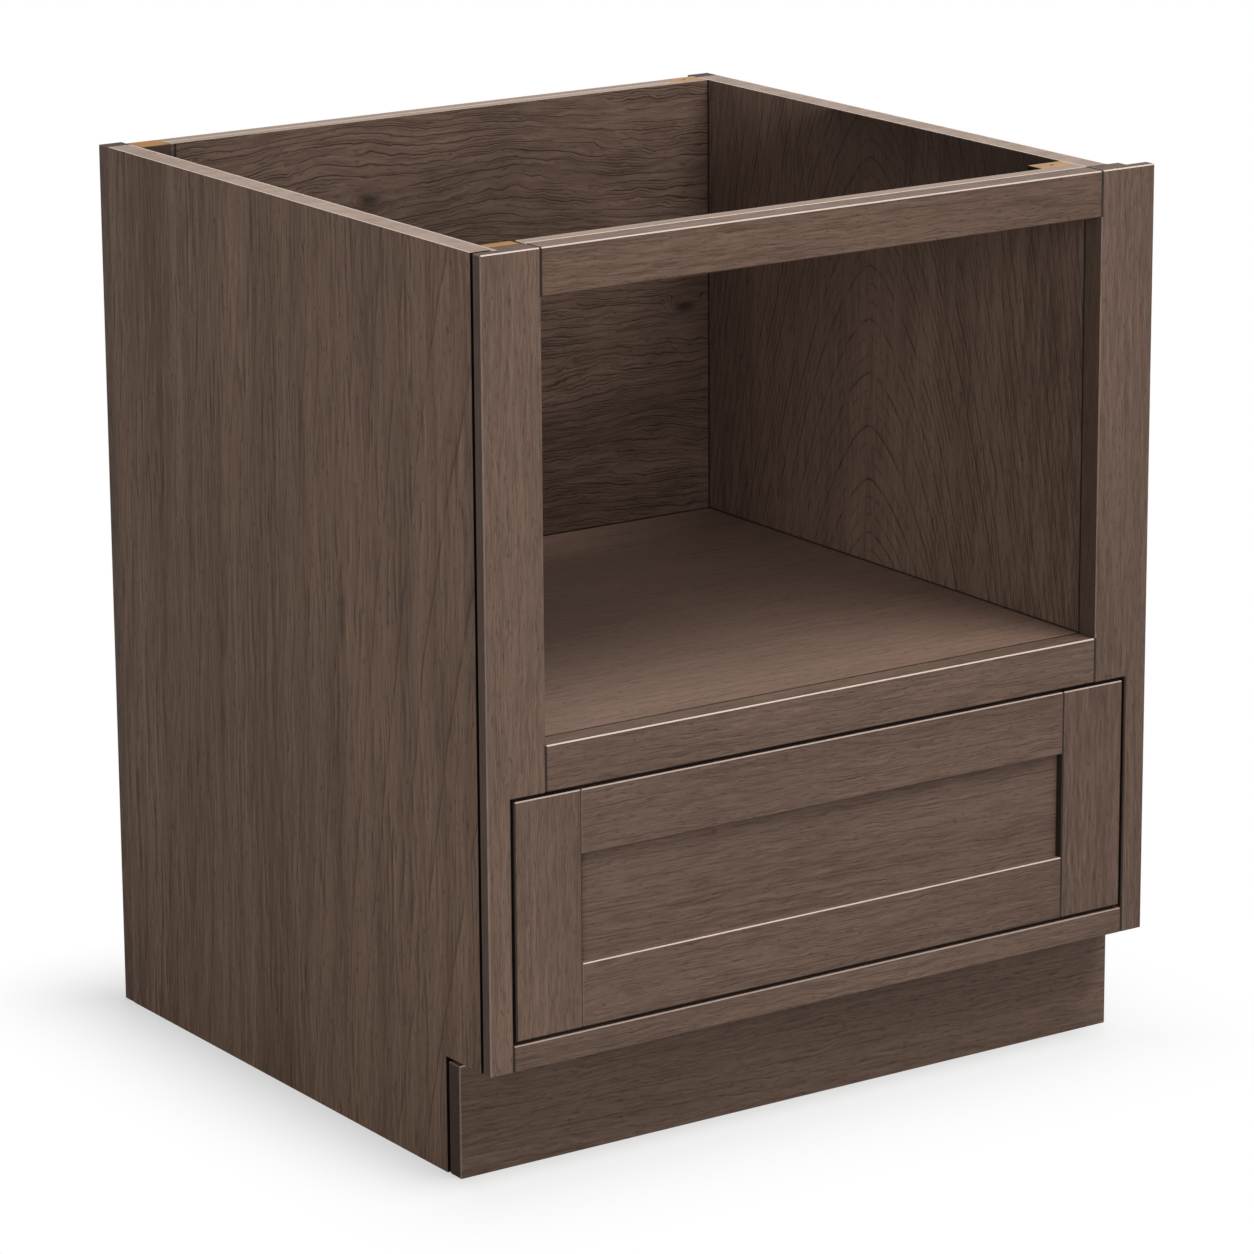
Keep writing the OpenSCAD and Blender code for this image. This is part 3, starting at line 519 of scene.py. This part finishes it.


# ------------------------------------------------------------------------------------------------
# The drawer front: five pieces, an oak frame round a flat oak panel that floats in its grooves.
# It lies flush with the face frame, with a dark gap all round, whose edges are darkened with
# painted shade.

# Painted shade: dark lines along the drawer front's outer edges widen its gap, and this one runs
# along its lower edge.
lower_gap_painted_shade = ("Z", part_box("drawer_front_rail_bottom")[0].z, "X", *whole)
# The left drawer stile is written lighter than the right: partly the boards' own tone, partly
# painted light falling off towards the right.
for seed, (side, lighter) in enumerate((("left", -0.01), ("right", -0.10))):
    stile = "drawer_front_stile_" + side
    board_finish(stile, "Z", "X", 91 + seed, lighter=lighter, step=0.009, ripple=0.006, lines=0.35,
                 between=0.9, rubbed_and_highlit=0.6, painted_side_shade=0.6,
                 # the line at its outer edge is painted shade in the gap, and the one at its inner
                 # edge marks where it meets the panel
                 joints=(*[("X", corner.x, "Z", *whole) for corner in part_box(stile)], lower_gap_painted_shade))
for seed, (place, rubbed_and_highlit, joints) in enumerate((("top", 0.6, ()), ("bottom", 0.9, (lower_gap_painted_shade,)))):
    board_finish("drawer_front_rail_" + place, "X", "Z", 93 + seed, step=0.009, ripple=0.007,
                 lines=0.4, between=0.9, rubbed_and_highlit=rubbed_and_highlit, end_joints=True, joints=joints)
board_finish("drawer_front_panel", "X", "Z", 95, lighter=0.03, step=0.012, apex=0.4, sag=0.1,
             ripple=0.007, lines=0.45, between=0.9,
             # the line along its top is partly where it meets the rail and partly painted shade
             # cast by that rail
             joints=(("X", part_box("drawer_front_stile_left")[1].x, "Z", *whole),
                     ("X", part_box("drawer_front_stile_right")[0].x, "Z", *whole),
                     ("Z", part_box("drawer_front_rail_top")[0].z, "X", *whole)))


# ------------------------------------------------------------------------------------------------
# The drawer box: solid birch sides, dovetailed at the corners and clear lacquered, with a thin
# birch bottom held in a groove.

for seed, (piece, along) in enumerate((
        ("drawer_box_front", "X"), ("drawer_box_back", "X"),
        ("drawer_side_left", "Y"), ("drawer_side_right", "Y"))):
    board_finish(piece, along, "Z", 101 + seed, wood=birch, step=0.011, lines=0.3, strokes=0.2)
board_finish("drawer_bottom", "X", "Y", 105, wood=birch, step=0.03, heart=0.1, lines=0.3,
             strokes=0.2)


# ------------------------------------------------------------------------------------------------
# The drawer's slides: three nested channels on each side, rolled from zinc-plated steel, with
# polished balls between them in flat cages.

def steel_finish(name, dark, light, roughness, rolled, seed):
    """Bright steel with faint streaks along the way it was rolled, and a little cloudiness."""
    material = bpy.data.materials.new(name)
    material.use_nodes = True
    recipe = Recipe(material.node_tree)
    place = recipe.add("ShaderNodeTexCoord", out="Object")
    rolling = recipe.add("ShaderNodeMapping", {
        "Vector": place, "Location": (seed, seed * 2.3, seed * 1.7), "Scale": rolled})
    streak = recipe.add("ShaderNodeTexNoise", {"Vector": rolling, "Scale": 1.0, "Detail": 3.0})
    cloud = recipe.add("ShaderNodeTexNoise", {"Vector": place, "Scale": 90.0, "Detail": 2.0})
    surface = recipe.add("ShaderNodeBsdfPrincipled", {
        "Base Color": recipe.mix(dark, light, (streak + cloud) * 0.9 - 0.4), "Metallic": 1.0,
        "Roughness": (streak - 0.5) * 0.2 + (cloud - 0.5) * 0.15 + roughness})
    recipe.add("ShaderNodeOutputMaterial", {"Surface": surface})
    return material


zinc = steel_finish("zinc_plated_steel", srgb(176, 178, 182), srgb(214, 216, 220), 0.3,
                    (900, 5, 900), 3)
polished = steel_finish("polished_steel", srgb(206, 208, 211), srgb(226, 228, 230), 0.12,
                        (300, 300, 300), 4)
for side in ("left", "right"):
    for member in ("cabinet", "middle", "drawer"):
        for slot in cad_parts["slide_" + member + "_member_" + side].material_slots:
            slot.material = zinc
    for run in ("outer", "inner"):
        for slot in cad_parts["slide_" + run + "_balls_" + side].material_slots:
            slot.material = polished


# ------------------------------------------------------------------------------------------------
# The screws: zinc-plated steel with a cross recess and a rolled thread. One shape tree makes them
# all, from countersunk wood screws in the carcass to the low-headed ones that hold the slides.

screw_zinc = steel_finish("screw_steel", srgb(150, 151, 154), srgb(190, 191, 194), 0.35,
                          (400, 400, 400), 5)
screw_tree = bpy.data.node_groups.new("screw", "GeometryNodeTree")
screw_tree.interface.new_socket("Geometry", in_out="OUTPUT", socket_type="NodeSocketGeometry")
screw_sockets = {"Seats": screw_tree.interface.new_socket(
    "Seats", in_out="INPUT", socket_type="NodeSocketGeometry").identifier}
for name in ("Face Width", "Base Width", "Head Height", "Shank Width", "Length", "Thread Pitch",
             "Recess Width"):
    screw_sockets[name] = screw_tree.interface.new_socket(
        name, in_out="INPUT", socket_type="NodeSocketFloat").identifier
screw_sockets["Metal"] = screw_tree.interface.new_socket(
    "Metal", in_out="INPUT", socket_type="NodeSocketMaterial").identifier

screw = Recipe(screw_tree)
given = screw.add("NodeGroupInput", out="Seats")
shank_radius = given.output("Shank Width") * 0.5
core_radius = shank_radius * 0.72
tip_length = given.output("Shank Width")
tip_start = given.output("Length") - tip_length


def lifted(shape, height):
    """The shape moved up the screw, away from the head."""
    return screw.add("GeometryNodeTransform", {
        "Geometry": shape, "Translation": screw.add("ShaderNodeCombineXYZ", {"Z": height})})


head = screw.add("GeometryNodeMeshCone", {
    "Vertices": 40, "Radius Bottom": given.output("Face Width") * 0.5,
    "Radius Top": given.output("Base Width") * 0.5, "Depth": given.output("Head Height")},
    out="Mesh")
for turn, depth in ((0, 1.5), (math.pi / 2, 1.44)):
    blade = screw.add("GeometryNodeMeshCube", {"Size": screw.add("ShaderNodeCombineXYZ", {
        "X": given.output("Recess Width"), "Y": given.output("Recess Width") * 0.26,
        "Z": given.output("Head Height") * depth})}, out="Mesh")
    blade = screw.add("GeometryNodeTransform", {"Geometry": blade, "Rotation": (0, 0, turn)})
    head = screw.add("GeometryNodeMeshBoolean", {"Mesh 1": head, "Mesh 2": blade}, out="Mesh",
                     operation="DIFFERENCE", solver="EXACT")
core = lifted(screw.add("GeometryNodeMeshCylinder", {
    "Vertices": 20, "Radius": core_radius, "Depth": tip_start - given.output("Head Height") * 0.9},
    out="Mesh"), (tip_start + given.output("Head Height") * 0.9) * 0.5)
tip = lifted(screw.add("GeometryNodeMeshCone", {
    "Vertices": 20, "Radius Bottom": core_radius, "Radius Top": core_radius * 0.08,
    "Depth": tip_length}, out="Mesh"), tip_start)
thread_start = given.output("Head Height") * 1.6
thread_length = given.output("Length") - thread_start - tip_length * 0.4
helix = screw.add("GeometryNodeCurveSpiral", {
    "Resolution": 18, "Rotations": thread_length / given.output("Thread Pitch"),
    "Start Radius": core_radius, "End Radius": core_radius, "Height": thread_length})
flank = screw.add("GeometryNodeCurvePrimitiveCircle", {
    "Resolution": 3, "Radius": (shank_radius - core_radius) * 0.98})
thread = lifted(screw.add("GeometryNodeCurveToMesh", {
    "Curve": helix, "Profile Curve": flank, "Fill Caps": True}), thread_start)
joined = screw.add("GeometryNodeJoinGeometry")
for part in (head, core, tip, thread):
    screw_tree.links.new(part.socket, joined.socket.node.inputs[0])
drive = screw.add("GeometryNodeInputNamedAttribute", {"Name": "drive"}, data_type="FLOAT_VECTOR")
placed = screw.add("GeometryNodeInstanceOnPoints", {
    "Points": given, "Instance": joined,
    "Rotation": screw.add("FunctionNodeAlignRotationToVector", {"Vector": drive}, axis="Z")})
real = screw.add("GeometryNodeRealizeInstances", {"Geometry": placed})
screw.add("NodeGroupOutput", {"Geometry": screw.add("GeometryNodeSetMaterial", {
    "Geometry": real, "Material": given.output("Metal")})})


def plain_screws(node):
    """The screws of a CAD node: their seats and the ways that they drive, listed under their sizes,
    which are the head's width, the shank's width, the head's height and the whole length."""
    shape = bmesh.new()
    shape.from_mesh(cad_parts[node].data)
    bmesh.ops.remove_doubles(shape, verts=shape.verts, dist=1e-6)
    found, placed_by_size = set(), {}
    for start in shape.verts:
        if start in found:
            continue
        one_screw, rim = set(), {start}
        while rim:
            one_screw |= rim
            rim = {edge.other_vert(vert) for vert in rim for edge in vert.link_edges} - one_screw
        found |= one_screw
        points = np.array([vert.co for vert in sorted(one_screw, key=lambda vert: vert.index)])
        spans = np.ptp(points, axis=0)
        axis = int(spans.argmax())
        middle = (points.max(axis=0) + points.min(axis=0)) / 2
        radii = np.hypot(*np.delete(points - middle, axis, axis=1).T)
        heights = points[:, axis]
        way = 1.0 if heights[radii.argmax()] < middle[axis] else -1.0
        down = (heights - middle[axis]) * way + spans[axis] / 2    # how far below the head's face
        shank = (radii < 0.6 * radii.max()) & (down < spans[axis] / 2)
        shank_start = down[shank].argmin()
        sizes = tuple(round(float(size), 5) for size in (
            2 * radii.max(), 2 * radii[shank][shank_start], down[shank][shank_start], spans[axis]))
        seat, drive_way = middle.copy(), np.zeros(3)
        seat[axis] -= way * spans[axis] / 2
        drive_way[axis] = way
        placed_by_size.setdefault(sizes, []).append((seat, drive_way))
    shape.free()
    return placed_by_size


recess_share = 0.52        # the cross recess's width over the head's


def screws(name, node, body, face_share, pitch):
    """Dressed screws in the places of a CAD node's plain ones, in their sizes. face_share is the
    width of the head's face over the width of its widest ring, and 1 for a countersunk head."""
    piece = bpy.data.objects.new(name, bpy.data.meshes.new(name))
    bpy.context.scene.collection.objects.link(piece)
    all_sizes = bmesh.new()
    for sizes, placed_screws in plain_screws(node).items():
        head_width, shank_width, head_height, length = sizes
        seats, drives = zip(*placed_screws)
        points = bpy.data.meshes.new(name)
        points.from_pydata(seats, [], [])
        points.attributes.new("drive", "FLOAT_VECTOR", "POINT").data.foreach_set(
            "vector", np.array(drives, dtype=np.float32).ravel())
        piece.data = points
        modifier = piece.modifiers.new("screw", "NODES")
        modifier.node_group = screw_tree
        for socket, value in (
                ("Face Width", head_width * face_share),
                ("Base Width", shank_width if face_share == 1 else head_width),
                ("Head Height", head_height), ("Shank Width", shank_width), ("Length", length),
                ("Thread Pitch", pitch), ("Recess Width", head_width * recess_share),
                ("Metal", screw_zinc)):
            modifier[screw_sockets[socket]] = value
        bpy.context.view_layer.update()
        dressed = piece.evaluated_get(bpy.context.evaluated_depsgraph_get())
        all_sizes.from_mesh(bpy.data.meshes.new_from_object(dressed))
        piece.modifiers.clear()
    piece.data = bpy.data.meshes.new(name)
    all_sizes.to_mesh(piece.data)
    all_sizes.free()
    piece.data.materials.append(screw_zinc)
    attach(piece, body)
    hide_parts(node)


wood_pitch, slide_pitch = 0.0018, 0.0016
screws("nailing_screws", "nailer_screws", "root", 1, wood_pitch)
screws("shelf_cleat_screws", "cleat_screws", "root", 1, wood_pitch)
screws("toe_screws", "toe_board_screws", "root", 1, wood_pitch)
screws("drawer_face_screws", "drawer_front_screws", "drawer", 1, wood_pitch)
screws("cabinet_member_screws", "slide_cabinet_screws", "root", 0.8, slide_pitch)
screws("drawer_member_screws", "slide_drawer_screws", "drawer", 0.8, slide_pitch)
